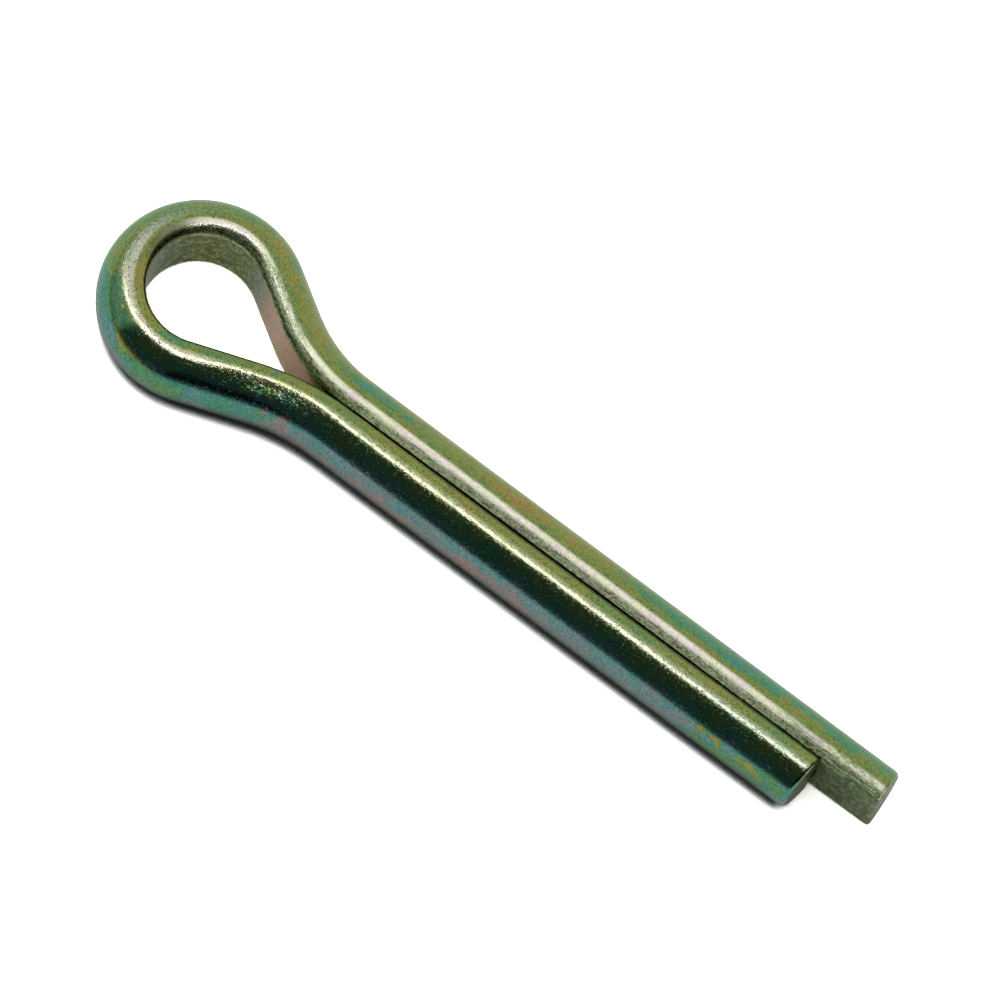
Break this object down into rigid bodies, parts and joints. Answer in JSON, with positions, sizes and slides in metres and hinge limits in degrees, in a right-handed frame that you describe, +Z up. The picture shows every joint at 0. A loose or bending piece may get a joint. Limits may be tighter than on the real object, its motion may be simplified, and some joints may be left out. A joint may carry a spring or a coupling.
{
  "type": "cotter pin",
  "caption": "Cotter pin of half-round wire folded into a teardrop eye and a split round shank, with one leg reaching past the other and bevelled tips.",
  "frame": {"origin": "centre of the bounding box in plan, at the surface the pin lies on", "axes": "+X along the legs towards their tips, +Y across the eye towards the long leg's side, +Z up through the eye"},
  "size_m": [0.0436, 0.0098, 0.0043],
  "materials": {
    "plated_wire": "drawn steel wire, zinc plated with an iridescent yellow-green chromate"
  },
  "bodies": {
    "root": {"cotter_pin": "plated_wire"}
  },
  "joints": []
}
